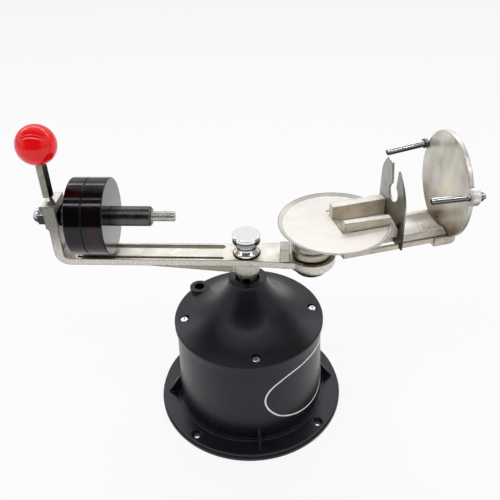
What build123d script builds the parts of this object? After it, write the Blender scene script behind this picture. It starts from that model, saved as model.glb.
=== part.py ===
from build123d import *
import math
import os

# Spring-driven broken-arm centrifugal casting machine, millimetres.
# Origin: centre of the base's underside. +Z is the spin axis, +X runs along the main arm to the pivot.

# Clearances
fit_gap = 0.05
face_gap = 0.3
running_gap = 0.05
half_turn = 180

# Base housing
flange_radius = 95.5
flange_thickness = 7.5
flange_lip_height = 3.2
flange_lip_step = 1.4
foot_ring_width = 3.0
foot_ring_height = 1.2
wall_foot_radius = 75.0
wall_taper = 3.0
housing_height = 101.0
housing_wall = 3.5
top_band_height = 6.0
top_band_step = 0.5
base_clock = 9.0
gusset_count = 4
gusset_thickness = 2.2
gusset_height = 22.0
gusset_reach = 13.4
gusset_tip = 1.0
flange_hole_count = 4
flange_hole_inset = 8.5
flange_hole_radius = 2.75
flange_counterbore_radius = 5.0
flange_counterbore_depth = 3.0
ledge_bottom = 8.0
ledge_thickness = 6.0
ledge_width = 22.5

# Top cover
cover_overhang = 2.1
cover_rim_height = 4.8
cover_edge_break = 0.8
cover_wall = 6.0
cover_land = 15.0
neck_radius = 18.5
neck_base_height = 49.5
neck_collar_height = 2.5
neck_recess_radius = 11.5
neck_recess_depth = 7.0
bell_sag = 9.5
bush_boss_wall = 4.5
cover_screw_count = 4
cover_screw_inset = 7.8
cover_screw_head_radius = 4.0
cover_screw_head_height = 2.6
cover_screw_radius = 2.0
cover_screw_length = 14.0
cover_counterbore_radius = 4.9
cover_counterbore_floor = 3.6
screw_boss_radius = 5.5
screw_boss_depth = 18.0
cross_recess_width = 1.0
cross_recess_depth = 1.5

# Stop-pin boss on the cover
stop_boss_angle = 145.0
stop_boss_inset = 8.6
stop_boss_radius = 9.8
stop_boss_height = 10.0
stop_bore_radius = 5.2
stop_bore_floor = 1.5

# Bearings and mainspring
bearing_plate_gap = 8.5
bearing_plate_thickness = 4.0
plate_screw_count = 4
plate_screw_inset = 6.0
plate_screw_radius = 2.0
plate_screw_head_radius = 3.8
plate_screw_head_height = 2.4
plate_screw_length = 8.0
journal_radius = 7.0
tail_radius = 6.0
bush_wall = 4.0
upper_bush_length = 18.0
lower_bush_length = 9.0
lower_bush_flange = 3.0
lower_bush_flange_height = 2.0
thrust_washer_thickness = 1.5
arbor_radius = 12.0
arbor_rise = 22.0
arbor_height = 36.0
arbor_pin_radius = 1.5
arbor_pin_drop = 2.25
spring_thickness = 1.0
spring_width = 28.0
spring_half_turns = 16
anchor_radius = 4.0
anchor_inset = 6.65

# Main arm
arm_rise = 29.0
arm_thickness = 6.5
arm_width = 27.0
arm_lip = 2.5
arm_recess_depth = 3.2
arm_recess_foot = 14.0
arm_recess_corner = 7.0
near_slot_width = 2.8
far_slot_width = 5.3
arm_slot_depth = 4.5
arm_slot_hub_gap = 20.7
wing_half = 18.0
upright_outer = 177.3
upright_thickness = 8.4
bend_outer_radius = 13.0
bend_inner_radius = 4.0
head_drop = 5.5
head_height = 22.5
head_outer_step = 2.3
head_inner_step = 0.9
upright_recess_depth = 3.0
head_top_wall = 8.0
rib_start = 155.0
rib_depth = 13.8
rib_width = 12.0
nose_radius = 12.5
nose_taper_height = 18.0
nose_tip_radius = 6.9
nose_gap = 1.0
spigot_radius = 5.0
thread_radius = 4.0
set_screw_radius = 3.0
set_screw_rise = 8.6
set_screw_stand = 0.4
set_screw_socket_flats = 3.0
set_screw_socket_depth = 2.6

# Hub nut
hub_washer_radius = 13.0
hub_washer_thickness = 1.2
nut_flange_radius = 12.4
nut_flange_height = 2.2
nut_waist_radius = 9.9
nut_neck_radius = 11.2
nut_waist_height = 7.6
nut_cone_height = 3.0
nut_neck_height = 0.5
nut_cap_radius = 13.2
nut_cap_height = 8.5
nut_cap_break = 0.8
nut_dish_radius = 10.8
nut_dish_depth = 0.8
nut_thread_depth = 15.5
thread_end_gap = 1.0

# Pivot on the main arm
pivot_distance = 60.0
boss_radius = 22.5
boss_height = 13.0
boss_round = 7.0
pivot_bolt_radius = 6.0
pivot_head_radius = 15.5
pivot_head_height = 5.5
pivot_head_break = 1.8
pivot_socket_flats = 9.0
pivot_socket_depth = 3.7
pivot_washer_radius = 17.2
pivot_washer_thickness = 2.0
pivot_nut_flats = 18.0
pivot_nut_height = 4.2
pivot_nut_recess = 12.0
stop_block_length = 8.8
stop_block_width = 13.5
stop_block_height = 14.0
stop_block_gap = 1.6
stop_block_near_edge = 15.6
stop_screw_radius = 2.0
stop_screw_depth = 9.0
stop_screw_inset = 3.9
stop_screw_head_radius = 3.5
stop_screw_head_height = 3.2
stop_screw_socket_flats = 3.2
stop_screw_socket_depth = 2.1

# Handle
handle_inset = 4.1
handle_offset = 7.5
handle_base_radius = 5.2
handle_base_height = 5.0
handle_neck_radius = 3.4
handle_neck_height = 8.5
handle_flats = 9.2
handle_ball_height = 57.4
ball_radius = 17.4
ball_flat_radius = 6.5
handle_thread_radius = 3.0
handle_thread_length = 7.0
ball_thread_length = 12.0

# Balance stud and counterweight
stud_radius = 4.9
stud_length = 124.0
stud_tip_break = 1.0
cap_nut_flats = 16.0
cap_nut_height = 8.0
cap_dome_radius = 7.0
jam_nut_height = 5.5
jam_nut_clock = 30.0
weight_radius = 35.3
weight_clearance = 3.7
weight_gap = 10.7
thin_weight_length = 15.5
thick_weight_length = 18.8
weight_edge_break = 0.7
sleeve_radius = 9.1
sleeve_length = 36.8
sleeve_spigot_radius = 7.5
sleeve_edge_break = 1.6

# Outer arm, folded back at rest
fold_rest_angle = 18.2
hub_ring_radius = 18.5
hub_ring_height = 6.2
hub_collar_radius = 16.5
hub_gap = 0.1
pivot_bush_wall = 2.0
beam_half_width = 11.0
beam_lift = 1.9
beam_depth = 9.5
rail_start = 22.0
rail_outer = 23.5
rail_thickness = 3.0
rail_height = 5.0
yoke_length = 6.0
foot_start = 112.0
foot_length = 28.0
foot_half_width = 24.5
foot_drop = 3.8
foot_corner_radius = 13.0
cradle_lip_half = 14.5
cradle_lip_width = 1.2
cradle_lip_height = 4.6
cradle_sag = 3.0
cradle_skirt_half = 22.0
cradle_skirt_rise = 0.8
plate_inset = 15.8
plate_turn_angle = -5.5
plate_radius = 49.2
plate_sink = 6.6
plate_depth = 4.2
plate_sheet = 2.5
plate_rim_wall = 2.5
plate_edge_round = 1.2
near_lug_radius = 8.0
far_lug_radius = 5.5
lug_depth = 7.5
lug_round = 1.6
pin_radius = 3.2
pin_tip_break = 0.8
near_pin_reach = 34.0
far_pin_reach = 43.3
pin_tail_stand = 1.8
near_pin_toe_angle = 0.4
far_pin_toe_angle = 8.9
near_pin_angle = 165.0
far_pin_angle = 24.8
collar_radius = 4.8
collar_height = 4.4
collar_edge_break = 0.9
inner_nut_flats = 9.0
inner_nut_height = 3.5

# Crucible carriage
tray_start = 24.0
tray_floor_gap = 0.3
tray_floor = 8.2
bar_inner = 11.5
near_bar_outer = 18.0
far_bar_outer = 20.5
bar_height = 24.2
near_bar_slope = 8.3
near_bar_drop = 1.8
ramp_length = 10.0
ramp_rise = 4.3
shelf_width = 5.0
shelf_thickness = 2.0
shelf_inset = 6.0
disc_radius = 51.8
disc_offset = -2.4
disc_sheet = 1.5
disc_rise = 15.2
disc_rim_width = 3.8
disc_rim_rise = 2.0
window_gap = 1.2
window_start_gap = 2.2
fork_face = 77.0
fork_thickness = 2.0
fork_half_width = 26.0
fork_near_shoulder_rise = 42.3
fork_shoulder_half = 24.0
fork_near_tip_rise = 71.3
fork_near_tip_offset = 5.5
fork_far_shoulder_rise = 54.3
fork_far_tip_rise = 75.3
fork_far_tip_offset = 16.5
fork_near_sag = 3.0
fork_far_sag = 2.5
fork_tip_round = 2.5
slot_radius = 8.4
slot_rise = 46.8
slot_neck_half = 4.2
slot_neck_rise = 57.3
slot_mouth_half = 7.5

# Sizes that follow from the driving dimensions
wall_top_radius = wall_foot_radius - wall_taper
wall_inner_radius = wall_top_radius - housing_wall
ledge_inner_radius = wall_inner_radius - ledge_width
ledge_top = ledge_bottom + ledge_thickness
flange_hole_circle = flange_radius - flange_hole_inset
flange_hole_clock = base_clock + half_turn / flange_hole_count
cover_radius = wall_top_radius + cover_overhang
cover_screw_circle = wall_top_radius - cover_screw_inset
stop_boss_circle = cover_radius - stop_boss_inset
bearing_plate_radius = wall_inner_radius - bearing_plate_gap
plate_screw_circle = ledge_inner_radius + plate_screw_inset
cover_seat = housing_height
cover_top = cover_seat + cover_rim_height
neck_base = cover_seat + neck_base_height
neck_top = neck_base + neck_collar_height
bush_outer_radius = journal_radius + bush_wall
upper_bush_top = neck_top - neck_recess_depth
upper_bush_bottom = upper_bush_top - upper_bush_length
lower_bush_radius = tail_radius + bush_wall
bearing_plate_top = ledge_top + bearing_plate_thickness
lower_bush_top = bearing_plate_top + lower_bush_flange_height
shaft_shoulder = lower_bush_top + thrust_washer_thickness + face_gap / 2
spring_inner = arbor_radius + face_gap + spring_thickness / 2
anchor_circle = bearing_plate_radius - anchor_inset
spring_outer = anchor_circle - anchor_radius - fit_gap - spring_thickness / 2
spring_step = (spring_outer - spring_inner) / spring_half_turns
arbor_bottom = bearing_plate_top + arbor_rise
arbor_top = arbor_bottom + arbor_height
arm_top = neck_top + arm_rise
arm_bottom = arm_top - arm_thickness
arm_half = arm_width / 2
stud_height = arm_top + weight_radius + weight_clearance
head_bottom = stud_height - head_drop
head_top = head_bottom + head_height
nose_bottom = upper_bush_top + nose_gap
nose_shoulder = nose_bottom + nose_taper_height
set_screw_height = nose_bottom + set_screw_rise
boss_bottom = arm_top - boss_height
recess_half = arm_half - arm_lip
upright_inner = upright_outer - upright_thickness
head_outer = upright_outer + head_outer_step
head_inner = upright_inner - head_inner_step
jam_seat = -(upright_inner + upright_recess_depth)
nut_seat = arm_top + hub_washer_thickness
nut_neck_bottom = nut_waist_height + nut_cone_height
nut_cap_bottom = nut_neck_bottom + nut_neck_height
nut_height = nut_cap_bottom + nut_cap_height
handle_ball_centre = head_top + handle_ball_height
stud_start = -head_outer - cap_nut_height
stud_end = stud_start + stud_length
thin_weight_start = jam_seat + jam_nut_height + weight_gap
weight_split = thin_weight_start + thin_weight_length
stop_block_end = pivot_distance - hub_ring_radius - stop_block_gap
pivot_washer_top = arm_top + pivot_washer_thickness
hub_bottom = pivot_washer_top + hub_gap
hub_ring_top = hub_bottom + hub_ring_height
beam_bottom = hub_bottom + beam_lift
beam_top = beam_bottom + beam_depth
foot_bottom = beam_bottom - foot_drop
pivot_nut_floor = beam_top - pivot_nut_height - 2 * hub_gap
rail_inner = rail_outer - rail_thickness
rail_top = beam_bottom + rail_height
cradle_floor = rail_top - face_gap
cradle_lip = cradle_floor + cradle_lip_height
fork_back = fork_face + fork_thickness
cradle_start = fork_back + face_gap
plate_face = foot_start + plate_inset
plate_centre = cradle_floor + plate_radius - plate_sink
cradle_end = plate_face + cradle_skirt_half * math.tan(math.radians(plate_turn_angle)) - fit_gap
foot_end = foot_start + foot_length
tray_bottom = beam_top + tray_floor_gap
tray_top = tray_bottom + tray_floor
bar_top = tray_bottom + bar_height
near_bar_end = fork_face - near_bar_slope
near_bar_low = bar_top - near_bar_drop
disc_centre = tray_start + disc_offset
disc_height = tray_bottom + disc_rise
disc_bottom = disc_height - disc_sheet
fork_bottom = beam_bottom - face_gap
fork_near_shoulder = fork_bottom + fork_near_shoulder_rise
fork_near_tip = fork_bottom + fork_near_tip_rise
fork_far_shoulder = fork_bottom + fork_far_shoulder_rise
fork_far_tip = fork_bottom + fork_far_tip_rise
slot_centre = fork_bottom + slot_rise
slot_neck_height = fork_bottom + slot_neck_rise
cover_screw_seat = cover_seat + cover_counterbore_floor
plate_screw_clock = base_clock + half_turn / plate_screw_count
spring_bottom = arbor_bottom + (arbor_height - spring_width) / 2
arbor_pin_height = arbor_top - arbor_pin_drop
ball_seat = handle_ball_centre - math.sqrt(ball_radius**2 - ball_flat_radius**2)
stop_block_start = stop_block_end - stop_block_length
pivot_nut_top = pivot_nut_floor + hub_gap + pivot_nut_height
pivot_bush_radius = pivot_bolt_radius + running_gap + pivot_bush_wall
handle_place = Pos(handle_inset - upright_outer, -handle_offset, 0)
stop_place = Pos(stop_block_start + stop_screw_inset, stop_block_width / 2 - stop_block_near_edge, 0)


# Basic solids
def rod(radius, bottom, top):
    shape = Cylinder(radius, top - bottom, align=(Align.CENTER, Align.CENTER, Align.MIN))
    return Pos(0, 0, bottom) * shape


def ring(outer, inner, bottom, top):
    return rod(outer, bottom, top) - rod(inner, bottom, top)


def hex_bar(flats, bottom, top):
    return Pos(0, 0, bottom) * extrude(RegularPolygon(flats / 2, 6, major_radius=False), top - bottom)


def block(low, high):
    size = [b - a for a, b in zip(low, high)]
    middle = [(a + b) / 2 for a, b in zip(low, high)]
    return Pos(*middle) * Box(*size)


def lathe(*points):
    return revolve(make_face(Plane.XZ * Polyline(*points, close=True)), Axis.Z)


def side_plate(half_width, *points):
    return extrude(make_face(Plane.XZ * Polyline(*points, close=True)), half_width, both=True)


def cross_plate(outline, length):
    return extrude(make_face(Plane.YZ * outline), length, dir=(1, 0, 0))


def along_x(shape, start, height):
    return Pos(start, 0, height) * Rot(0, 90, 0) * shape


def around(shape, count, circle, clock):
    step = 360 / count
    return [Rot(0, 0, clock + k * step) * Pos(circle, 0, 0) * shape for k in range(count)]


def pan_screw(head_radius, head_height, shank_radius, length):
    head = rod(head_radius, 0, head_height)
    head = fillet(head.edges().group_by(Axis.Z)[-1], head_height / 2)
    slot_end = head_radius / 2
    slot_half = cross_recess_width / 2
    slot_low = head_height - cross_recess_depth
    slot = block((-slot_end, -slot_half, slot_low), (slot_end, slot_half, head_height))
    for turn in (0, half_turn / 2):
        head -= Rot(0, 0, turn) * slot
    return head + rod(shank_radius, -length, 0)


def on_outer_arm(shape):
    return Pos(pivot_distance, 0, 0) * Rot(0, 0, fold_rest_angle) * shape


# Base
def base_housing():
    lip_radius = flange_radius - flange_lip_step
    foot_ring_radius = wall_foot_radius + foot_ring_width
    foot_ring_top = flange_thickness + foot_ring_height
    band_bottom = housing_height - top_band_height
    band_radius = wall_top_radius + top_band_step
    shell = lathe(
        (ledge_inner_radius, 0),
        (flange_radius, 0),
        (flange_radius, flange_lip_height),
        (lip_radius, flange_lip_height),
        (lip_radius, flange_thickness),
        (foot_ring_radius, flange_thickness),
        (foot_ring_radius, foot_ring_top),
        (wall_foot_radius, foot_ring_top),
        (wall_top_radius, band_bottom),
        (band_radius, band_bottom),
        (band_radius, housing_height),
        (ledge_inner_radius, housing_height),
    )
    shell -= rod(wall_inner_radius, ledge_top, housing_height)
    shell -= rod(wall_inner_radius, 0, ledge_bottom)
    gusset_foot = wall_foot_radius + gusset_reach
    gusset_root = wall_inner_radius + housing_wall / 2
    gusset = side_plate(
        gusset_thickness / 2,
        (gusset_root, flange_thickness / 2),
        (gusset_foot, flange_thickness / 2),
        (gusset_foot, flange_thickness + gusset_tip),
        (wall_foot_radius, flange_thickness + gusset_height),
        (gusset_root, flange_thickness + gusset_height),
    )
    boss_bottom_edge = housing_height - screw_boss_depth
    boss = rod(screw_boss_radius, boss_bottom_edge, housing_height)
    boss &= Pos(-cover_screw_circle, 0, 0) * rod(wall_top_radius, 0, housing_height)
    shell += around(gusset, gusset_count, 0, base_clock)
    shell += around(boss, cover_screw_count, cover_screw_circle, base_clock)
    screw_way = rod(cover_screw_radius, boss_bottom_edge, housing_height)
    shell -= around(screw_way, cover_screw_count, cover_screw_circle, base_clock)
    bolt_hole = rod(flange_hole_radius, 0, flange_thickness)
    bolt_hole += rod(flange_counterbore_radius, flange_thickness - flange_counterbore_depth, flange_thickness)
    shell -= around(bolt_hole, flange_hole_count, flange_hole_circle, flange_hole_clock)
    plate_hole = rod(plate_screw_radius, ledge_bottom, ledge_top)
    shell -= around(plate_hole, plate_screw_count, plate_screw_circle, plate_screw_clock)
    return shell


def bell_plug(drop):
    rim = cover_radius - cover_edge_break
    outline = Curve() + [
        Line((0, cover_seat - drop), (cover_radius, cover_seat - drop)),
        Line((cover_radius, cover_seat - drop), (cover_radius, cover_top - cover_edge_break - drop)),
        Line((cover_radius, cover_top - cover_edge_break - drop), (rim, cover_top - drop)),
        SagittaArc((rim, cover_top - drop), (neck_radius, neck_base - drop), bell_sag),
        Line((neck_radius, neck_base - drop), (neck_radius, neck_top - drop)),
        Line((neck_radius, neck_top - drop), (0, neck_top - drop)),
        Line((0, neck_top - drop), (0, cover_seat - drop)),
    ]
    return revolve(make_face(Plane.XZ * outline), Axis.Z)


def top_cover():
    bush_boss_radius = bush_outer_radius + bush_boss_wall
    cavity = ring(cover_radius - cover_land, bush_boss_radius, cover_seat, neck_base - cover_wall)
    cover = bell_plug(0) - (cavity & bell_plug(cover_wall))
    cover -= rod(bush_boss_radius, cover_seat, upper_bush_bottom)
    cover -= rod(bush_outer_radius + fit_gap, upper_bush_bottom, upper_bush_top)
    cover -= rod(neck_recess_radius, upper_bush_top, neck_top)
    stop_top = cover_seat + stop_boss_height
    stop_place = Rot(0, 0, stop_boss_angle) * Pos(stop_boss_circle, 0, 0)
    cover += stop_place * rod(stop_boss_radius, cover_seat, stop_top)
    cover -= stop_place * rod(stop_bore_radius, cover_seat + stop_bore_floor, stop_top)
    screw_hole = rod(cover_screw_radius + fit_gap, cover_seat, cover_top)
    screw_hole += rod(cover_counterbore_radius, cover_screw_seat, neck_base)
    cover -= around(screw_hole, cover_screw_count, cover_screw_circle, base_clock)
    return cover


def cover_screws():
    screw = pan_screw(
        cover_screw_head_radius, cover_screw_head_height, cover_screw_radius - fit_gap, cover_screw_length
    )
    placed = Pos(0, 0, cover_screw_seat) * screw
    return Compound(around(placed, cover_screw_count, cover_screw_circle, base_clock))


def bearing_plate():
    plate = rod(bearing_plate_radius, ledge_top, bearing_plate_top)
    plate -= rod(lower_bush_radius + fit_gap, ledge_top, bearing_plate_top)
    anchor_hole = rod(anchor_radius + fit_gap, ledge_top, bearing_plate_top)
    plate -= Rot(0, 0, base_clock) * Pos(anchor_circle, 0, 0) * anchor_hole
    hole = rod(plate_screw_radius + fit_gap, ledge_top, bearing_plate_top)
    return plate - around(hole, plate_screw_count, plate_screw_circle, plate_screw_clock)


def bearing_plate_screws():
    screw = pan_screw(
        plate_screw_head_radius, plate_screw_head_height, plate_screw_radius - fit_gap, plate_screw_length
    )
    placed = Pos(0, 0, bearing_plate_top) * screw
    return Compound(around(placed, plate_screw_count, plate_screw_circle, plate_screw_clock))


def upper_bush():
    return ring(bush_outer_radius, journal_radius + running_gap, upper_bush_bottom, upper_bush_top)


def lower_bush():
    sleeve = rod(lower_bush_radius, lower_bush_top - lower_bush_length, lower_bush_top)
    sleeve += rod(lower_bush_radius + lower_bush_flange, bearing_plate_top, lower_bush_top)
    return sleeve - rod(tail_radius + running_gap, lower_bush_top - lower_bush_length, lower_bush_top)


def thrust_washer():
    washer_top = lower_bush_top + thrust_washer_thickness
    return ring(lower_bush_radius, tail_radius + face_gap, lower_bush_top, washer_top)


def spring_arbor():
    arbor = ring(arbor_radius, journal_radius + fit_gap, arbor_bottom, arbor_top)
    return arbor - along_x(rod(arbor_pin_radius + fit_gap, -arbor_radius, arbor_radius), 0, arbor_pin_height)


def arbor_pin():
    return along_x(rod(arbor_pin_radius, -arbor_radius, arbor_radius), 0, arbor_pin_height)


def mainspring():
    half = spring_thickness / 2
    inner = []
    outer = []
    for k in range(spring_half_turns):
        odd = k % 2
        radius = spring_inner + k * spring_step
        centre = (odd * spring_step, 0)
        inner.append(CenterArc(centre, radius - half, odd * half_turn, half_turn))
        outer.append(CenterArc(centre, radius + half, odd * half_turn, half_turn))
    ends = [
        Line((spring_inner - half, 0), (spring_inner + half, 0)),
        Line((spring_outer - half, 0), (spring_outer + half, 0)),
    ]
    strip = extrude(make_face(Curve() + inner + outer + ends), spring_width)
    return Rot(0, 0, base_clock) * Pos(0, 0, spring_bottom) * strip


def spring_anchor():
    post = rod(anchor_radius, ledge_top, spring_bottom + spring_width)
    return Rot(0, 0, base_clock) * Pos(anchor_circle, 0, 0) * post


# Spinning main arm
def drive_shaft():
    spigot_top = arm_top - face_gap
    thread_top = nut_seat + nut_thread_depth - thread_end_gap
    shaft = lathe(
        (0, lower_bush_top - lower_bush_length),
        (tail_radius, lower_bush_top - lower_bush_length),
        (tail_radius, shaft_shoulder),
        (journal_radius, shaft_shoulder),
        (journal_radius, nose_bottom),
        (spigot_radius, nose_bottom),
        (spigot_radius, spigot_top),
        (thread_radius, spigot_top),
        (thread_radius, thread_top),
        (0, thread_top),
    )
    return shaft - along_x(rod(arbor_pin_radius + fit_gap, -arbor_radius, arbor_radius), 0, arbor_pin_height)


def arm_bar():
    outer = -upright_outer
    inner = -upright_inner
    bend = arm_bottom + bend_outer_radius
    corner = arm_top + bend_inner_radius
    outline = Curve() + [
        Line((0, arm_bottom), (outer + bend_outer_radius, arm_bottom)),
        CenterArc((outer + bend_outer_radius, bend), bend_outer_radius, half_turn, half_turn / 2),
        Line((outer, bend), (outer, head_top)),
        Line((outer, head_top), (inner, head_top)),
        Line((inner, head_top), (inner, corner)),
        CenterArc((inner + bend_inner_radius, corner), bend_inner_radius, half_turn, half_turn / 2),
        Line((inner + bend_inner_radius, arm_top), (0, arm_top)),
        Line((0, arm_top), (0, arm_bottom)),
    ]
    return extrude(make_face(Plane.XZ * outline), arm_half, both=True)


def long_slot(start, low, high):
    radius = (high - low) / 2
    end = -arm_slot_hub_gap - radius
    floor = arm_top - arm_slot_depth
    slot = block((start, low, floor), (end, high, arm_top))
    return slot + Pos(end, low + radius, 0) * rod(radius, floor, arm_top)


def main_arm():
    arm = arm_bar()
    arm += side_plate(
        arm_half,
        (-upright_outer, head_bottom - head_outer_step),
        (-head_outer, head_bottom),
        (-head_outer, head_top),
        (-head_inner, head_top),
        (-head_inner, head_bottom),
        (-upright_inner, head_bottom - head_inner_step),
    )
    near_side = ((0, -arm_half), (pivot_distance, -wing_half))
    far_side = ((pivot_distance, wing_half), (0, arm_half))
    wing = make_face(Polyline(*near_side, *far_side, close=True))
    arm += Pos(0, 0, arm_bottom) * extrude(wing, arm_thickness)
    arm += side_plate(rib_width / 2, (-rib_start, arm_bottom), (0, arm_bottom), (0, arm_bottom - rib_depth))
    arm += lathe(
        (0, nose_bottom),
        (nose_tip_radius, nose_bottom),
        (nose_radius, nose_shoulder),
        (nose_radius, arm_top),
        (0, arm_top),
    )
    boss = rod(boss_radius, boss_bottom, arm_top)
    boss = fillet(boss.edges().group_by(Axis.Z)[0], boss_round)
    arm += Pos(pivot_distance, 0, 0) * boss
    floor = arm_top - arm_recess_depth
    recess_end = -(upright_inner + upright_recess_depth)
    recess_top = head_top - head_top_wall
    arm -= side_plate(
        recess_half,
        (recess_end, recess_top),
        (recess_end, floor + arm_recess_corner),
        (recess_end + arm_recess_corner, floor),
        (recess_end + arm_recess_foot, floor),
        (recess_end + arm_recess_foot, arm_top + arm_recess_depth),
        (-head_inner + bend_inner_radius, arm_top + arm_recess_depth),
        (-head_inner + bend_inner_radius, recess_top),
    )
    arm -= long_slot(recess_end + arm_recess_corner, -recess_half, near_slot_width - recess_half)
    arm -= long_slot(recess_end + arm_recess_corner, recess_half - far_slot_width, recess_half)
    arm -= along_x(rod(stud_radius + fit_gap, 0, head_outer - head_inner), -head_outer, stud_height)
    arm -= handle_place * rod(handle_thread_radius + fit_gap, head_top - handle_thread_length, head_top)
    arm -= rod(spigot_radius + fit_gap, nose_bottom, arm_top)
    arm -= Pos(0, 0, set_screw_height) * Rot(90, 0, 0) * rod(set_screw_radius + fit_gap, 0, nose_radius)
    arm -= Pos(pivot_distance, 0, 0) * rod(pivot_bolt_radius + fit_gap, boss_bottom, arm_top)
    arm -= stop_place * rod(stop_screw_radius + fit_gap, arm_bottom, arm_top)
    return arm


def hub_set_screw():
    slope = (nose_radius - nose_tip_radius) / (nose_shoulder - nose_bottom)
    surface = nose_tip_radius + slope * (set_screw_height - nose_bottom)
    tip = surface + set_screw_stand
    screw = rod(set_screw_radius, spigot_radius + fit_gap, tip)
    screw -= hex_bar(set_screw_socket_flats, tip - set_screw_socket_depth, tip)
    return Pos(0, 0, set_screw_height) * Rot(90, 0, 0) * screw


def hub_washer():
    return ring(hub_washer_radius, spigot_radius + fit_gap, arm_top, nut_seat)


def hub_nut():
    nut = lathe(
        (0, 0),
        (nut_flange_radius, 0),
        (nut_flange_radius, nut_flange_height),
        (nut_waist_radius, nut_waist_height - nut_cone_height),
        (nut_waist_radius, nut_waist_height),
        (nut_neck_radius, nut_neck_bottom),
        (nut_neck_radius, nut_cap_bottom),
        (nut_cap_radius, nut_cap_bottom + nut_cap_break),
        (nut_cap_radius, nut_height - nut_cap_break),
        (nut_cap_radius - nut_cap_break, nut_height),
        (nut_dish_radius, nut_height),
        (0, nut_height - nut_dish_depth),
    )
    nut -= rod(thread_radius + fit_gap, 0, nut_thread_depth)
    return Pos(0, 0, nut_seat) * nut


def stop_block():
    block_shape = block(
        (stop_block_start, -stop_block_near_edge, arm_top),
        (stop_block_end, stop_block_width - stop_block_near_edge, arm_top + stop_block_height),
    )
    return block_shape - stop_place * rod(stop_screw_radius + fit_gap, arm_top, arm_top + stop_screw_depth)


def stop_block_screw():
    screw = rod(stop_screw_radius, arm_bottom, arm_top + stop_screw_depth - fit_gap)
    head_low = arm_bottom - stop_screw_head_height
    screw += rod(stop_screw_head_radius, head_low, arm_bottom)
    screw -= hex_bar(stop_screw_socket_flats, head_low, head_low + stop_screw_socket_depth)
    return stop_place * screw


def handle_stem():
    neck_top_edge = head_top + handle_neck_height
    stem = rod(handle_thread_radius, head_top - handle_thread_length + fit_gap, head_top)
    stem += lathe(
        (0, head_top),
        (handle_base_radius, head_top),
        (handle_neck_radius, head_top + handle_base_height),
        (handle_neck_radius, neck_top_edge),
        (0, neck_top_edge),
    )
    stem += hex_bar(handle_flats, neck_top_edge, ball_seat)
    stem += rod(handle_thread_radius, ball_seat, ball_seat + ball_thread_length)
    return handle_place * stem


def ball_knob():
    ball = Pos(0, 0, handle_ball_centre) * Sphere(ball_radius)
    ball -= rod(ball_radius, ball_seat - ball_radius, ball_seat)
    ball -= rod(handle_thread_radius + fit_gap, ball_seat, ball_seat + ball_thread_length + face_gap)
    return handle_place * ball


def balance_stud():
    length = stud_end - stud_start
    stud = lathe(
        (0, 0),
        (stud_radius, 0),
        (stud_radius, length - stud_tip_break),
        (stud_radius - stud_tip_break, length),
        (0, length),
    )
    return along_x(stud, stud_start, stud_height)


def cap_nut():
    nut = hex_bar(cap_nut_flats, 0, cap_nut_height)
    dome = Sphere(cap_dome_radius) - rod(cap_dome_radius + fit_gap, 0, cap_dome_radius)
    nut += dome
    nut -= rod(stud_radius + fit_gap, 0, cap_nut_height)
    return along_x(nut, stud_start, stud_height)


def jam_nut():
    nut = Rot(0, 0, jam_nut_clock) * hex_bar(cap_nut_flats, 0, jam_nut_height)
    nut -= rod(stud_radius + fit_gap, 0, jam_nut_height)
    return along_x(nut, jam_seat, stud_height)


def weight_disc(start, length):
    edge = weight_radius - weight_edge_break
    bore = sleeve_spigot_radius + fit_gap
    disc = lathe(
        (bore, 0),
        (edge, 0),
        (weight_radius, weight_edge_break),
        (weight_radius, length - weight_edge_break),
        (edge, length),
        (bore, length),
    )
    return along_x(disc, start, stud_height)


def weight_sleeve():
    bore = stud_radius + running_gap
    spigot = thin_weight_length + thick_weight_length
    end = spigot + sleeve_length
    sleeve = lathe(
        (bore, 0),
        (sleeve_spigot_radius, 0),
        (sleeve_spigot_radius, spigot),
        (sleeve_radius, spigot),
        (sleeve_radius, end - sleeve_edge_break),
        (sleeve_radius - sleeve_edge_break, end),
        (bore, end),
    )
    return along_x(sleeve, thin_weight_start, stud_height)


# Pivot hardware
def pivot_bolt():
    head_bottom_edge = boss_bottom - pivot_head_height
    head = rod(pivot_head_radius, head_bottom_edge, boss_bottom)
    head = chamfer(head.edges().group_by(Axis.Z)[0], pivot_head_break)
    bolt = head + rod(pivot_bolt_radius, boss_bottom, pivot_nut_top)
    bolt -= hex_bar(pivot_socket_flats, head_bottom_edge, head_bottom_edge + pivot_socket_depth)
    return Pos(pivot_distance, 0, 0) * bolt


def pivot_washer():
    return Pos(pivot_distance, 0, 0) * ring(
        pivot_washer_radius, pivot_bolt_radius + fit_gap, arm_top, pivot_washer_top
    )


def pivot_nut():
    nut = hex_bar(pivot_nut_flats, pivot_nut_floor + hub_gap, pivot_nut_top)
    nut -= rod(pivot_bolt_radius + fit_gap, pivot_nut_floor, beam_top)
    return Pos(pivot_distance, 0, 0) * nut


def pivot_bush():
    return on_outer_arm(ring(pivot_bush_radius, pivot_bolt_radius + running_gap, hub_bottom, pivot_nut_floor))


# Outer arm
def outer_arm():
    arm = rod(hub_ring_radius, hub_bottom, hub_ring_top)
    arm += rod(hub_collar_radius, hub_ring_top, beam_top)
    arm += block((0, -beam_half_width, beam_bottom), (fork_back, beam_half_width, beam_top))
    arm += block((0, -beam_half_width, beam_bottom), (foot_start, beam_half_width, cradle_floor))
    arm += block((rail_start, -rail_inner, beam_bottom), (rail_start + yoke_length, rail_inner, rail_top))
    foot = block((foot_start, -foot_half_width, foot_bottom), (foot_end, foot_half_width, cradle_floor))
    foot = fillet(foot.edges().filter_by(Axis.Z).sort_by(Axis.X)[-2:], foot_corner_radius)
    arm += foot - on_plate(rod(plate_radius + fit_gap, -fit_gap, plate_depth + fit_gap))
    arm -= rod(pivot_bush_radius + fit_gap, hub_bottom, beam_top)
    arm -= rod(pivot_nut_recess, pivot_nut_floor, beam_top)
    return on_outer_arm(arm)


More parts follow.
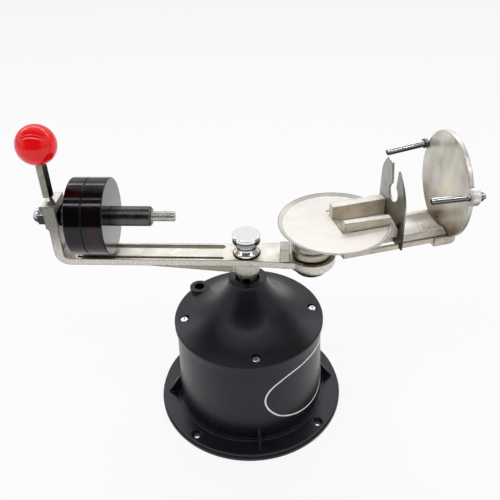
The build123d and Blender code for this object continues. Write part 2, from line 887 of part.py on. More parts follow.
def guide_rail(side):
    low = min(side * rail_inner, side * rail_outer)
    rail = block((rail_start, low, beam_bottom), (foot_start, low + rail_thickness, rail_top))
    return on_outer_arm(rail)


def flask_cradle():
    lip_edge = cradle_lip_half + cradle_lip_width
    skirt_low = rail_top + face_gap
    base_half = rail_inner - face_gap
    outline = Curve() + [
        SagittaArc((-cradle_lip_half, cradle_lip), (cradle_lip_half, cradle_lip), -cradle_sag),
        Polyline(
            (cradle_lip_half, cradle_lip),
            (lip_edge, cradle_lip),
            (cradle_skirt_half, skirt_low + cradle_skirt_rise),
            (cradle_skirt_half, skirt_low),
            (base_half, skirt_low),
            (base_half, cradle_floor),
            (-base_half, cradle_floor),
            (-base_half, skirt_low),
            (-cradle_skirt_half, skirt_low),
            (-cradle_skirt_half, skirt_low + cradle_skirt_rise),
            (-lip_edge, cradle_lip),
            (-cradle_lip_half, cradle_lip),
        ),
    ]
    trough = cross_plate(outline, cradle_end - cradle_start)
    return on_outer_arm(Pos(cradle_start, 0, 0) * trough)


def on_plate(shape):
    return Pos(plate_face, 0, plate_centre) * Rot(0, 0, plate_turn_angle) * Rot(0, 90, 0) * shape


def at_pin(shape, angle, toe):
    return on_plate(Rot(0, 0, angle + 90) * Pos(plate_radius, 0, 0) * Rot(0, toe, 0) * shape)


def end_plate():
    pan = rod(plate_radius, 0, plate_depth) - rod(plate_radius - plate_rim_wall, plate_sheet, plate_depth)
    pan = fillet(pan.edges().group_by(Axis.Z)[0], plate_edge_round)
    plate = on_plate(pan)
    pins = (
        (near_pin_angle, near_pin_toe_angle, near_lug_radius),
        (far_pin_angle, far_pin_toe_angle, far_lug_radius),
    )
    for angle, toe, lug_radius in pins:
        lug = rod(lug_radius, 0, lug_depth)
        plate += at_pin(fillet(lug.edges().filter_by(GeomType.CIRCLE), lug_round), angle, 0)
        plate -= at_pin(rod(pin_radius + fit_gap, -lug_depth, 2 * lug_depth), angle, toe)
    return on_outer_arm(plate)


def collar_seat(toe):
    return lug_depth + collar_radius * math.tan(math.radians(toe))


def guide_pin(angle, reach, toe):
    pin = rod(pin_radius, -reach, collar_seat(toe) + collar_height + pin_tail_stand)
    pin = chamfer(pin.edges().group_by(Axis.Z)[0], pin_tip_break)
    return on_outer_arm(at_pin(pin, angle, toe))


def pin_collar(angle, toe):
    low = collar_seat(toe)
    collar = ring(collar_radius, pin_radius + fit_gap, low, low + collar_height)
    top_edges = collar.edges().group_by(Axis.Z)[-1]
    collar = chamfer(top_edges.sort_by(SortBy.LENGTH)[-1:], collar_edge_break)
    return on_outer_arm(at_pin(collar, angle, toe))


def pin_nut(angle, toe):
    top = -inner_nut_flats / 2 * math.tan(math.radians(toe)) - fit_gap
    nut = hex_bar(inner_nut_flats, top - inner_nut_height, top)
    nut -= rod(pin_radius + fit_gap, top - inner_nut_height, top)
    return on_outer_arm(at_pin(nut, angle, toe))


# Crucible carriage
def crucible_tray():
    tray = block((tray_start, -near_bar_outer, tray_bottom), (fork_face, far_bar_outer, tray_top))
    shelf_low = disc_bottom - shelf_thickness
    near_side = (-1, near_bar_outer, near_bar_end, near_bar_low)
    far_side = (1, far_bar_outer, fork_face, bar_top)
    for side, bar_outer, top_end, end_height in (near_side, far_side):
        bar_middle = (bar_inner + bar_outer) / 2
        shelf_outer = bar_outer + shelf_width
        bar = side_plate(
            (bar_outer - bar_inner) / 2,
            (tray_start, tray_bottom),
            (fork_face, tray_bottom),
            (fork_face, tray_top),
            (top_end, end_height),
            (tray_start, bar_top),
        )
        tray += Pos(0, side * bar_middle, 0) * bar
        edges = sorted((side * bar_middle, side * shelf_outer))
        tray += block((tray_start + shelf_inset, edges[0], shelf_low), (near_bar_end, edges[1], disc_bottom))
    tray += side_plate(
        near_bar_outer,
        (tray_start, tray_top),
        (tray_start + ramp_length, tray_top),
        (tray_start, tray_top + ramp_rise),
    )
    return on_outer_arm(tray)


def splash_disc():
    flat_radius = disc_radius - disc_rim_width
    rim_low = disc_bottom + disc_rim_rise
    disc = lathe(
        (0, disc_bottom),
        (flat_radius, disc_bottom),
        (disc_radius, rim_low),
        (disc_radius, rim_low + disc_sheet),
        (flat_radius, disc_height),
        (0, disc_height),
    )
    disc = Pos(disc_centre, 0, 0) * disc
    window_near = -near_bar_outer - window_gap
    window_far = far_bar_outer + window_gap
    window_top = disc_height + disc_rim_rise + disc_sheet
    disc -= block(
        (tray_start - window_start_gap, window_near, disc_bottom), (fork_back, window_far, window_top)
    )
    disc -= block(
        (fork_face - face_gap, -disc_radius, disc_bottom), (fork_back + disc_radius, disc_radius, window_top)
    )
    return on_outer_arm(disc)


def fork_plate():
    near_foot = (-fork_half_width, fork_bottom)
    near_shoulder = (-fork_shoulder_half, fork_near_shoulder)
    near_tip = (-fork_near_tip_offset, fork_near_tip)
    far_tip = (fork_far_tip_offset, fork_far_tip)
    far_shoulder = (fork_half_width, fork_far_shoulder)
    far_foot = (fork_half_width, fork_bottom)
    outline = Curve() + [
        Line(near_foot, near_shoulder),
        SagittaArc(near_shoulder, near_tip, fork_near_sag),
        Line(near_tip, far_tip),
        SagittaArc(far_tip, far_shoulder, fork_far_sag),
        Line(far_shoulder, far_foot),
        Line(far_foot, near_foot),
    ]
    plate = cross_plate(outline, fork_thickness)
    mouth = Polyline(
        near_tip,
        (-slot_neck_half, slot_neck_height),
        (-slot_neck_half, slot_centre),
        (slot_neck_half, slot_centre),
        (slot_neck_half, slot_neck_height),
        (slot_mouth_half, fork_far_tip),
        (-fork_near_tip_offset, fork_far_tip),
        close=True,
    )
    plate -= cross_plate(mouth, fork_thickness)
    plate -= along_x(rod(slot_radius, 0, fork_thickness), 0, slot_centre)
    plate = fillet(plate.edges().filter_by(Axis.X).group_by(Axis.Z)[-1], fork_tip_round)
    beam_cut = beam_half_width + face_gap
    plate -= block((0, -beam_cut, fork_bottom), (fork_thickness, beam_cut, tray_bottom))
    for side in (-1, 1):
        edges = sorted((side * (rail_inner - face_gap), side * (rail_outer + face_gap)))
        plate -= block((0, edges[0], fork_bottom), (fork_thickness, edges[1], rail_top + face_gap))
    return on_outer_arm(Pos(fork_face, 0, 0) * plate)


nodes = {
    "base_housing": base_housing(),
    "top_cover": top_cover(),
    "cover_screws": cover_screws(),
    "bearing_plate": bearing_plate(),
    "bearing_plate_screws": bearing_plate_screws(),
    "upper_bush": upper_bush(),
    "lower_bush": lower_bush(),
    "thrust_washer": thrust_washer(),
    "mainspring": mainspring(),
    "spring_anchor": spring_anchor(),
    "drive_shaft": drive_shaft(),
    "spring_arbor": spring_arbor(),
    "arbor_pin": arbor_pin(),
    "main_arm": main_arm(),
    "hub_set_screw": hub_set_screw(),
    "hub_washer": hub_washer(),
    "hub_nut": hub_nut(),
    "stop_block": stop_block(),
    "stop_block_screw": stop_block_screw(),
    "handle_stem": handle_stem(),
    "ball_knob": ball_knob(),
    "balance_stud": balance_stud(),
    "cap_nut": cap_nut(),
    "jam_nut": jam_nut(),
    "pivot_bolt": pivot_bolt(),
    "pivot_washer": pivot_washer(),
    "pivot_nut": pivot_nut(),
    "thin_weight": weight_disc(thin_weight_start, thin_weight_length),
    "thick_weight": weight_disc(weight_split, thick_weight_length),
    "weight_sleeve": weight_sleeve(),
    "outer_arm": outer_arm(),
    "pivot_bush": pivot_bush(),
    "near_rail": guide_rail(-1),
    "far_rail": guide_rail(1),
    "flask_cradle": flask_cradle(),
    "end_plate": end_plate(),
    "near_guide_pin": guide_pin(near_pin_angle, near_pin_reach, near_pin_toe_angle),
    "far_guide_pin": guide_pin(far_pin_angle, far_pin_reach, far_pin_toe_angle),
    "near_pin_collar": pin_collar(near_pin_angle, near_pin_toe_angle),
    "far_pin_collar": pin_collar(far_pin_angle, far_pin_toe_angle),
    "far_pin_nut": pin_nut(far_pin_angle, far_pin_toe_angle),
    "crucible_tray": crucible_tray(),
    "splash_disc": splash_disc(),
    "fork_plate": fork_plate(),
}

os.makedirs("parts", exist_ok=True)
for name, shape in nodes.items():
    export_step(shape, f"parts/{name}.step")
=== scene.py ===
import bpy
import math
from mathutils import Matrix, Vector


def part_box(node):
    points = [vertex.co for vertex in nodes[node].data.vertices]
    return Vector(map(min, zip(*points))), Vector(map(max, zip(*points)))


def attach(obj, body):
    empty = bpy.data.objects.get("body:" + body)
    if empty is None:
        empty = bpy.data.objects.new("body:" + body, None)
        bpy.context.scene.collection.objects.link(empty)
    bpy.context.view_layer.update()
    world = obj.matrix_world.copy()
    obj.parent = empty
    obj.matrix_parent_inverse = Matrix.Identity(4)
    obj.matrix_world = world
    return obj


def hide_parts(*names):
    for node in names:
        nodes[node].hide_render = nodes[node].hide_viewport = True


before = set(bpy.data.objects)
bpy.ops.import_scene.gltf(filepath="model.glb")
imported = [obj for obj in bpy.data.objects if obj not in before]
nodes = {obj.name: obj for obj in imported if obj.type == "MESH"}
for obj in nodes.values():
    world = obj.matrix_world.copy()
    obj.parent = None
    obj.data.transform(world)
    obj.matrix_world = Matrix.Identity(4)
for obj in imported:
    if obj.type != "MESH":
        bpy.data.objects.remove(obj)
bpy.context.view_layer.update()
scene = bpy.context.scene
MILLIMETRE = 0.001

# Camera at the photograph's viewing angle
CAMERA_DISTANCE = 0.4869
CAMERA_HEIGHT = 0.5266
CAMERA_PITCH = math.radians(35.10)
CAMERA_YAW = math.radians(0.37)
CAMERA_ROLL = math.radians(-1.67)
CAMERA_TURN = math.radians(4.2)
CAMERA_LENS = 46.008
CAMERA_NEAR = 0.01
SENSOR_WIDTH = 36.0

# Floor
FLOOR_HALF = 5.0
FLOOR_DROP = 0.0002
FLOOR_WHITE = 0.86
FLOOR_COLOUR = (0.93, 0.93, 0.93, 1.0)

# Studio walls, as a range of directions and the brightness there
WALL_COLOUR = (1.0, 0.99, 0.975, 1.0)
BACKDROP_WHITE = 0.96
SKY_LEVEL = 0.07
BACK_RANGE = (0.05, 0.6)
BACK_LEVEL = 0.82
LEFT_RANGE = (-0.9, -0.6)
LEFT_LEVEL = 0.95
RIGHT_RANGE = (0.6, 0.9)
RIGHT_LEVEL = 0.85
LOW_RANGE = (0.0, 0.35)
LOW_LEVEL = 0.45

# Strip lamps with place, width and watts, and fill lamps with place and watts
LIGHT_TARGET = Vector((0.0, 0.0, 0.2))
STRIP_LENGTH = 3.0
STRIPS = {
    "top_strip": ((-0.10, -0.20, 1.50), 0.070, 2.6),
    "front_strip": ((-0.10, -0.58, 1.38), 0.075, 6.2),
    "back_strip": ((-0.10, 0.92, 1.10), 0.100, 6.2),
}
FILL_SIZE = 0.9
FILLS = {
    "left_fill": ((-1.05, -0.85, 0.70), 2.9),
    "right_fill": ((1.05, -0.85, 0.70), 2.9),
}

# Softened edges of the meshes
MERGE_DISTANCE = 2e-6
FLAT_ANGLE = math.radians(0.3)
EDGE_ANGLE = math.radians(22)
SMOOTH_ANGLE = math.radians(24)
EDGE_SEGMENTS = 2

# Pinstripe on the housing wall, as angle in degrees and height in millimetres
WALL_FOOT_RADIUS = 75.0
WALL_FOOT_HEIGHT = 8.7
WALL_SLOPE = 3.0 / 86.3
STRIPE_WIDTH = 2.0
STRIPE_RISE = 0.12
STRIPE_STEPS = 14
STRIPE_PROFILE = ((-0.5, -1.0), (-0.38, 0.7), (0.0, 1.0), (0.38, 0.7), (0.5, -1.0))
STRIPE_ROUTE = [
    (-29.8, 87.5), (-41.2, 86.9), (-57.3, 82.8), (-70.2, 72.8), (-75.3, 60.6), (-73.6, 47.9),
    (-67.4, 37.1), (-59.9, 30.7), (-49.3, 25.9), (-37.1, 23.3), (-26.1, 22.9), (-12.8, 25.0),
    (-1.0, 32.0), (8.0, 44.0), (11.0, 58.0), (7.0, 72.0), (-5.0, 82.0), (-17.0, 86.4),
]

# Thread of the balance stud, millimetres
THREAD_PITCH = 1.5
THREAD_DEPTH = 0.75
THREAD_RUN_OUT = 1.2
THREAD_SIDES = 36
THREAD_RINGS = 6

# Painted shade in the corners, from ambient occlusion, and dark lines on the edges of plated metal,
# metres
SHADE_AND_LINE_COLOUR = (0.045, 0.036, 0.022)
SHADE_REACH = 0.0016
SHADE_RANGE = (0.40, 0.85)
SHADE_DEPTH = 0.85
SHADE_SAMPLES = 8
LINE_REACH = 0.0016
LINE_RANGE = (0.90, 0.985)
LINE_DEPTH = 0.80
EDGE_SAMPLES = 6

# Painted edge highlight and dust of the black plastic
PLASTIC_EDGE = 0.0012
PLASTIC_EDGE_RANGE = (0.80, 0.97)
PAINTED_EDGE_HIGHLIGHT = (0.055, 0.058, 0.066)
PLASTIC_SPAN = (0.3, 0.75)
DUST = (0.22, 0.22, 0.23)
DUST_SPAN = (0.735, 0.79)
DUST_LEVELS = (0.0, 0.6)

# Places where a colour changes, metres in the rest pose; among them the bounds of painted shade under
# the arm, the thumb nut's painted reflection bands and the disc's painted shade at its rim
ARM_UNDERSIDE = 0.1755
HUB_REACH = 0.0125
UPRIGHT_FADE = (0.180, 0.222)
PLATE_FADE = (0.190, 0.236)
FORK_FADE = (0.198, 0.226)
NUT_SPAN = (0.1832, 0.2028)
STEM_NECK = (0.2455, 0.2470)
WEIGHT_FADE = (0.185, 0.257)
WEIGHT_RIM = (0.0342, 0.0350)
DISC_RIM = 0.0038
DISC_LINE = 0.0005

# Height of a face's normal where the colour changes from side to top; on plates, the end plate's rim,
# chrome and the thumb nut it divides painted shade on faces turned away from painted light on faces
# turned up
CAST_TOP = (0.35, 0.9)
PLATE_TOP = (0.78, 0.93)
RIM_TOP = (-0.45, 0.35)
CHROME_TOP = (0.0, 0.40)
NUT_TOP = (0.55, 0.85)

# Direction that the end plate faces along, from the fold and the plate's own turn
PLATE_TURN = math.radians(12.7)
PLATE_AXIS = (math.cos(PLATE_TURN), math.sin(PLATE_TURN), 0.0)

# Share of that direction in a normal where the end plate's face gives way to its rim
RIM_TURN = (0.35, 0.6)

# Share of brush streaks in plated mottle, and turned rings per metre on the weights' ends
STREAK_SHARE = 0.35
RING_RATE = 2600.0

# Ranges that many finishes share
NOISE_SPAN = (0.3, 0.7)
PLATE_SPAN = (0.34, 0.66)
FULL_SPAN = (0.0, 1.0)
RISING = (0.0, 1.0)
FALLING = (1.0, 0.0)
WHITE = (1.0, 1.0, 1.0)

# Sockets of a colour mix
MIX_FACTOR = 0
MIX_FIRST = 6
MIX_SECOND = 7
MIX_RESULT = 2


# Node helpers
def is_socket(value):
    return isinstance(value, bpy.types.NodeSocket)


def node(tree, kind, inputs=None, **settings):
    made = tree.nodes.new(kind)
    for key, value in settings.items():
        setattr(made, key, value)
    for key, value in (inputs or {}).items():
        if is_socket(value):
            tree.links.new(value, made.inputs[key])
        else:
            made.inputs[key].default_value = value
    return made


def start_material(name, **sockets):
    material = bpy.data.materials.new(name)
    material.use_nodes = True
    tree = material.node_tree
    shader = tree.nodes["Principled BSDF"]
    for key, value in sockets.items():
        shader.inputs[key.replace("_", " ").title().replace("Ior", "IOR")].default_value = value
    place = node(tree, "ShaderNodeTexCoord").outputs["Object"]
    return material, tree, shader, place


def wire(tree, shader, **sockets):
    for key, socket in sockets.items():
        tree.links.new(socket, shader.inputs[key.replace("_", " ")])


def stretched(tree, place, scale):
    return node(tree, "ShaderNodeMapping", {"Vector": place, "Scale": scale}).outputs["Vector"]


def noise(tree, place, scale=1.0, detail=3.0, roughness=0.55):
    inputs = {"Vector": place, "Scale": scale, "Detail": detail, "Roughness": roughness}
    return node(tree, "ShaderNodeTexNoise", inputs).outputs["Fac"]


def ramp(tree, value, *stops):
    made = node(tree, "ShaderNodeValToRGB", {"Fac": value})
    elements = made.color_ramp.elements
    while len(elements) < len(stops):
        elements.new(1.0)
    for element, (position, colour) in zip(elements, stops):
        element.position = position
        element.color = (*colour, 1.0)
    return made.outputs["Color"]


def two_tone(tree, value, tones, span=NOISE_SPAN):
    return ramp(tree, value, *zip(span, tones))


def remap(tree, value, span, levels):
    inputs = {"Value": value}
    inputs["From Min"], inputs["From Max"] = span
    inputs["To Min"], inputs["To Max"] = levels
    return node(tree, "ShaderNodeMapRange", inputs, interpolation_type="SMOOTHSTEP").outputs["Result"]


def blend_colour(tree, factor, first, second, mode="MIX"):
    inputs = {MIX_FACTOR: factor}
    for index, colour in ((MIX_FIRST, first), (MIX_SECOND, second)):
        inputs[index] = colour if is_socket(colour) else (*colour, 1.0)
    return node(tree, "ShaderNodeMix", inputs, data_type="RGBA", blend_type=mode).outputs[MIX_RESULT]


def maths(tree, operation, first, second=0.0):
    return node(tree, "ShaderNodeMath", {0: first, 1: second}, operation=operation).outputs["Value"]


def dot_product(tree, first, second):
    inputs = {0: first, 1: second}
    return node(tree, "ShaderNodeVectorMath", inputs, operation="DOT_PRODUCT").outputs["Value"]


def bump(tree, height, strength, distance, normal=None):
    inputs = {"Height": height, "Strength": strength, "Distance": distance}
    if normal is not None:
        inputs["Normal"] = normal
    return node(tree, "ShaderNodeBump", inputs).outputs["Normal"]


def axis_value(tree, vector, axis):
    return node(tree, "ShaderNodeSeparateXYZ", {"Vector": vector}).outputs[axis]


def upward(tree):
    return axis_value(tree, node(tree, "ShaderNodeNewGeometry").outputs["Normal"], "Z")


def axis_distance(tree, place, centre, axes):
    squares = []
    for axis in axes:
        middle = centre["XYZ".index(axis)]
        offset = maths(tree, "SUBTRACT", axis_value(tree, place, axis), middle)
        squares.append(maths(tree, "POWER", offset, 2.0))
    return maths(tree, "SQRT", maths(tree, "ADD", *squares))


def edge_mask(tree, reach, span):
    rounded = node(tree, "ShaderNodeBevel", {"Radius": reach}, samples=EDGE_SAMPLES).outputs["Normal"]
    flat = node(tree, "ShaderNodeNewGeometry").outputs["True Normal"]
    return rounded, remap(tree, dot_product(tree, rounded, flat), span, FALLING)


def with_shade_and_edge_lines(tree, colour):
    # Corners are painted dark as shade, and edges get a dark line
    shade = node(
        tree, "ShaderNodeAmbientOcclusion", {"Distance": SHADE_REACH}, samples=SHADE_SAMPLES
    ).outputs["AO"]
    tone_shift = edge_mask(tree, LINE_REACH, LINE_RANGE)[1]
    colour = blend_colour(tree, maths(tree, "MULTIPLY", tone_shift, LINE_DEPTH), colour, SHADE_AND_LINE_COLOUR)
    return blend_colour(tree, remap(tree, shade, SHADE_RANGE, (SHADE_DEPTH, 0.0)), colour, SHADE_AND_LINE_COLOUR)


# Materials
def satin_plastic():
    material, tree, shader, place = start_material(
        "satin_black_plastic", specular_ior_level=0.34, specular_tint=(0.86, 0.88, 1.0, 1.0)
    )
    cloud = noise(tree, place, scale=38.0, detail=4.0)
    tones = ((0.0050, 0.0057, 0.0080), (0.0085, 0.0095, 0.0125))
    dust = noise(tree, place, scale=1500.0, detail=2.0, roughness=0.4)
    specks = remap(tree, dust, DUST_SPAN, DUST_LEVELS)
    colour = blend_colour(tree, specks, two_tone(tree, cloud, tones, PLASTIC_SPAN), DUST)
    # Edges are painted lighter as a highlight, besides the rounded normal that shades them
    rounded, tone_shift = edge_mask(tree, PLASTIC_EDGE, PLASTIC_EDGE_RANGE)
    grain = noise(tree, place, scale=4200.0, detail=2.0)
    sheen = noise(tree, place, scale=300.0, detail=5.0)
    wire(
        tree,
        shader,
        Base_Color=blend_colour(tree, tone_shift, colour, PAINTED_EDGE_HIGHLIGHT),
        Roughness=remap(tree, sheen, PLASTIC_SPAN, (0.285, 0.315)),
        Normal=bump(tree, grain, strength=0.10, distance=0.0002, normal=rounded),
    )
    return material


def cast_nickel():
    material, tree, shader, place = start_material("plated_casting", metallic=1.0)
    crust = noise(tree, place, scale=900.0, detail=4.0, roughness=0.65)
    patches = noise(tree, place, scale=70.0, detail=4.0)
    side = ramp(
        tree,
        crust,
        (0.30, (0.30, 0.283, 0.243)),
        (0.50, (0.66, 0.63, 0.57)),
        (0.68, (0.92, 0.89, 0.83)),
    )
    top = two_tone(tree, patches, ((0.56, 0.53, 0.47), (0.77, 0.745, 0.69)))
    height = axis_value(tree, place, "Z")
    # Sides darker towards the top of the upright
    upper = remap(tree, height, UPRIGHT_FADE, RISING)
    darker_high = two_tone(tree, upper, (WHITE, (0.38, 0.39, 0.39)), FULL_SPAN)
    side = blend_colour(tree, 1.0, side, darker_high, "MULTIPLY")
    # Faces below the arm's underside, away from the hub, are painted darker as the arm's shade
    under_arm = remap(tree, height, (ARM_UNDERSIDE - MILLIMETRE, ARM_UNDERSIDE), FALLING)
    along = axis_value(tree, place, "X")
    clear_of_hub = remap(tree, along, (-HUB_REACH - MILLIMETRE, -HUB_REACH), FALLING)
    shade_under_arm = blend_colour(tree, 1.0, side, (0.62, 0.60, 0.52), "MULTIPLY")
    side = blend_colour(tree, maths(tree, "MULTIPLY", under_arm, clear_of_hub), side, shade_under_arm)
    colour = blend_colour(tree, remap(tree, upward(tree), CAST_TOP, RISING), side, top)
    wire(
        tree,
        shader,
        Base_Color=with_shade_and_edge_lines(tree, colour),
        Roughness=remap(tree, crust, NOISE_SPAN, (0.30, 0.48)),
        Normal=bump(tree, crust, strength=0.35, distance=0.0006),
    )
    return material


def nickel_plate(name, shaded_sides, lit_tops, streak, roughness, metal, foot=None):
    material, tree, shader, place = start_material(name, metallic=metal)
    cloud = noise(tree, place, scale=85.0, roughness=0.5)
    streaks = noise(tree, stretched(tree, place, streak))
    cloud_part = maths(tree, "MULTIPLY", cloud, 1.0 - STREAK_SHARE)
    mottle = maths(tree, "ADD", cloud_part, maths(tree, "MULTIPLY", streaks, STREAK_SHARE))
    side = two_tone(tree, mottle, shaded_sides, PLATE_SPAN)
    if foot:
        # Sides darker towards the bottom
        low = remap(tree, axis_value(tree, place, "Z"), FORK_FADE, FALLING)
        side = blend_colour(tree, low, side, foot)
    top = two_tone(tree, mottle, lit_tops, PLATE_SPAN)
    # Faces turned up take the top tones as painted light, the rest the side tones as painted shade
    colour = blend_colour(tree, remap(tree, upward(tree), PLATE_TOP, RISING), side, top)
    wire(
        tree,
        shader,
        Base_Color=with_shade_and_edge_lines(tree, colour),
        Roughness=remap(tree, mottle, NOISE_SPAN, roughness),
        Normal=bump(tree, streaks, strength=0.06, distance=0.0003),
    )
    return material


def pale_disc():
    low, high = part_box("splash_disc")
    radius = (high.y - low.y) / 2
    centre = Vector((low.x + radius, (low.y + high.y) / 2, 0.0))
    crease = radius - DISC_RIM
    inside = crease - DISC_LINE
    outside = crease + DISC_LINE
    material, tree, shader, place = start_material("pale_disc", metallic=0.35)
    cloud = noise(tree, place, scale=60.0, detail=5.0, roughness=0.6)
    grain = noise(tree, place, scale=700.0)
    reach = axis_distance(tree, place, centre, "XY")
    # The rim band takes a darker tone as painted shade, and a painted dark line marks the shade in the
    # crease
    flat = two_tone(tree, cloud, ((0.82, 0.78, 0.735), (0.90, 0.862, 0.82)), PLATE_SPAN)
    band = two_tone(tree, cloud, ((0.66, 0.645, 0.615), (0.80, 0.785, 0.76)), PLATE_SPAN)
    colour = blend_colour(tree, remap(tree, reach, (inside, outside), RISING), flat, band)
    line_in = remap(tree, reach, (inside, crease), (0.0, 0.5))
    line_out = remap(tree, reach, (crease, outside), FALLING)
    colour = blend_colour(tree, maths(tree, "MULTIPLY", line_in, line_out), colour, SHADE_AND_LINE_COLOUR)
    wire(
        tree,
        shader,
        Base_Color=with_shade_and_edge_lines(tree, colour),
        Roughness=remap(tree, cloud, NOISE_SPAN, (0.34, 0.46)),
        Normal=bump(tree, grain, strength=0.05, distance=0.0003),
    )
    return material


def end_plate_tones():
    material, tree, shader, place = start_material("toned_end_plate", metallic=0.50)
    runs = noise(tree, stretched(tree, place, (40.0, 40.0, 30.0)), roughness=0.5)
    brush = noise(tree, stretched(tree, place, (1400.0, 1400.0, 40.0)), detail=2.0)
    upper_tones = ramp(
        tree,
        runs,
        (0.33, (0.46, 0.42, 0.34)),
        (0.45, (0.60, 0.56, 0.485)),
        (0.56, (0.70, 0.68, 0.635)),
        (0.66, (0.86, 0.78, 0.63)),
    )
    brown = two_tone(tree, runs, ((0.10, 0.064, 0.024), (0.33, 0.235, 0.115)))
    # Browner towards the bottom
    low = remap(tree, axis_value(tree, place, "Z"), PLATE_FADE, FALLING)
    brown_below = blend_colour(tree, low, upper_tones, brown)
    # The rim is painted light where it faces up and painted shade where it faces down
    lit = remap(tree, upward(tree), RIM_TOP, RISING)
    lit_shaded_rim = blend_colour(tree, lit, (0.22, 0.21, 0.19), (0.95, 0.94, 0.92))
    facing = node(tree, "ShaderNodeTexCoord").outputs["Normal"]
    square = maths(tree, "ABSOLUTE", dot_product(tree, facing, PLATE_AXIS))
    colour = blend_colour(tree, remap(tree, square, RIM_TURN, FALLING), brown_below, lit_shaded_rim)
    wire(
        tree,
        shader,
        Base_Color=with_shade_and_edge_lines(tree, colour),
        Roughness=remap(tree, runs, NOISE_SPAN, (0.26, 0.42)),
        Normal=bump(tree, brush, strength=0.05, distance=0.0002),
    )
    return material


def turned_steel(name, tones, roughness, ring_scale, ring_depth):
    material, tree, shader, place = start_material(name, metallic=1.0)
    cloud = noise(tree, place, scale=120.0, detail=4.0)
    rings = noise(tree, stretched(tree, place, ring_scale), detail=2.0)
    wire(
        tree,
        shader,
        Base_Color=two_tone(tree, cloud, tones),
        Roughness=remap(tree, cloud, NOISE_SPAN, roughness),
        Normal=bump(tree, rings, strength=ring_depth, distance=0.0002),
    )
    return material


def bright_chrome():
    material, tree, shader, place = start_material("bright_chrome", metallic=1.0)
    cloud = noise(tree, place, scale=120.0, detail=4.0)
    smears = noise(tree, place, scale=420.0)
    bright = two_tone(tree, cloud, ((0.70, 0.705, 0.72), (0.84, 0.84, 0.845)))
    shade = remap(tree, upward(tree), CHROME_TOP, FALLING)
    wire(
        tree,
        shader,
        Base_Color=blend_colour(tree, shade, bright, (0.045, 0.045, 0.052)),
        Roughness=remap(tree, smears, NOISE_SPAN, (0.13, 0.20)),
    )
    return material


def thumb_nut_chrome():
    material, tree, shader, place = start_material("thumb_nut_chrome", metallic=1.0)
    rise = remap(tree, axis_value(tree, place, "Z"), NUT_SPAN, RISING)
    smears = noise(tree, place, scale=300.0)
    # Bands by height are painted reflections, dark and white rings in place of the surroundings seen in
    # the chrome
    bands = ramp(
        tree,
        rise,
        (0.10, (0.80, 0.79, 0.765)),
        (0.20, (0.74, 0.735, 0.73)),
        (0.28, (0.10, 0.09, 0.15)),
        (0.38, (0.10, 0.09, 0.15)),
        (0.46, (0.80, 0.80, 0.82)),
        (0.56, (0.52, 0.515, 0.51)),
        (0.80, (0.24, 0.235, 0.23)),
        (0.91, (0.07, 0.07, 0.075)),
        (0.95, (0.9, 0.9, 0.9)),
    )
    # Faces turned up are painted white as a highlight
    level = remap(tree, upward(tree), NUT_TOP, RISING)
    wire(
        tree,
        shader,
        Base_Color=blend_colour(tree, level, bands, (0.93, 0.93, 0.93)),
        Roughness=remap(tree, smears, NOISE_SPAN, (0.06, 0.13)),
    )
    return material


def handle_steel():
    material, tree, shader, place = start_material("handle_steel", metallic=1.0)
    cloud = noise(tree, place, scale=140.0, detail=4.0)
    dark = two_tone(tree, cloud, ((0.17, 0.17, 0.148), (0.32, 0.315, 0.28)))
    bright = two_tone(tree, cloud, ((0.62, 0.60, 0.55), (0.80, 0.785, 0.74)))
    below_neck = remap(tree, axis_value(tree, place, "Z"), STEM_NECK, FALLING)
    wire(
        tree,
        shader,
        Base_Color=blend_colour(tree, below_neck, dark, bright),
        Roughness=remap(tree, cloud, NOISE_SPAN, (0.14, 0.24)),
    )
    return material


def black_weight():
    material, tree, shader, place = start_material("black_oxide_weight", metallic=1.0)
    radius = axis_distance(tree, place, sum(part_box("thick_weight"), Vector()) / 2, "YZ")
    turning = {"W": maths(tree, "MULTIPLY", radius, RING_RATE), "Scale": 1.0, "Detail": 2.0}
    rings = node(tree, "ShaderNodeTexNoise", turning, noise_dimensions="1D").outputs["Fac"]
    bands = noise(tree, stretched(tree, place, (900.0, 12.0, 12.0)))
    bruise = noise(tree, stretched(tree, place, (50.0, 22.0, 22.0)), detail=4.0)
    rim = ramp(
        tree,
        bruise,
        (0.32, (0.026, 0.025, 0.028)),
        (0.60, (0.038, 0.034, 0.037)),
        (0.76, (0.058, 0.035, 0.036)),
    )
    end = two_tone(tree, rings, ((0.09, 0.09, 0.10), (0.30, 0.30, 0.315)))
    # End faces darker towards the top
    upper = remap(tree, axis_value(tree, place, "Z"), WEIGHT_FADE, RISING)
    tone_shift = two_tone(tree, upper, (WHITE, (0.45, 0.45, 0.45)), FULL_SPAN)
    end = blend_colour(tree, 1.0, end, tone_shift, "MULTIPLY")
    band_relief = bump(tree, bands, strength=0.03, distance=0.0002)
    wire(
        tree,
        shader,
        Base_Color=blend_colour(tree, remap(tree, radius, WEIGHT_RIM, RISING), end, rim),
        Roughness=remap(tree, bands, NOISE_SPAN, (0.10, 0.17)),
        Normal=bump(tree, rings, strength=0.10, distance=0.0002, normal=band_relief),
    )
    return material


def red_gloss():
    material, tree, shader, place = start_material(
        "red_gloss_ball", roughness=0.035, specular_ior_level=0.42
    )
    cloud = noise(tree, place, scale=55.0)
    orange_peel = noise(tree, place, scale=420.0, detail=2.0)
    wire(
        tree,
        shader,
        Base_Color=two_tone(tree, cloud, ((0.90, 0.003, 0.006), (0.97, 0.006, 0.010))),
        Normal=bump(tree, orange_peel, strength=0.006, distance=0.0004),
    )
    return material


def stripe_paint():
    material, tree, shader, place = start_material("stripe_paint", specular_ior_level=0.4)
    wear = noise(tree, place, scale=260.0, detail=4.0)
    wire(
        tree,
        shader,
        Base_Color=two_tone(tree, wear, ((0.88, 0.88, 0.88), (0.97, 0.97, 0.97)), (0.25, 0.5)),
        Roughness=remap(tree, wear, NOISE_SPAN, (0.32, 0.45)),
    )
    return material


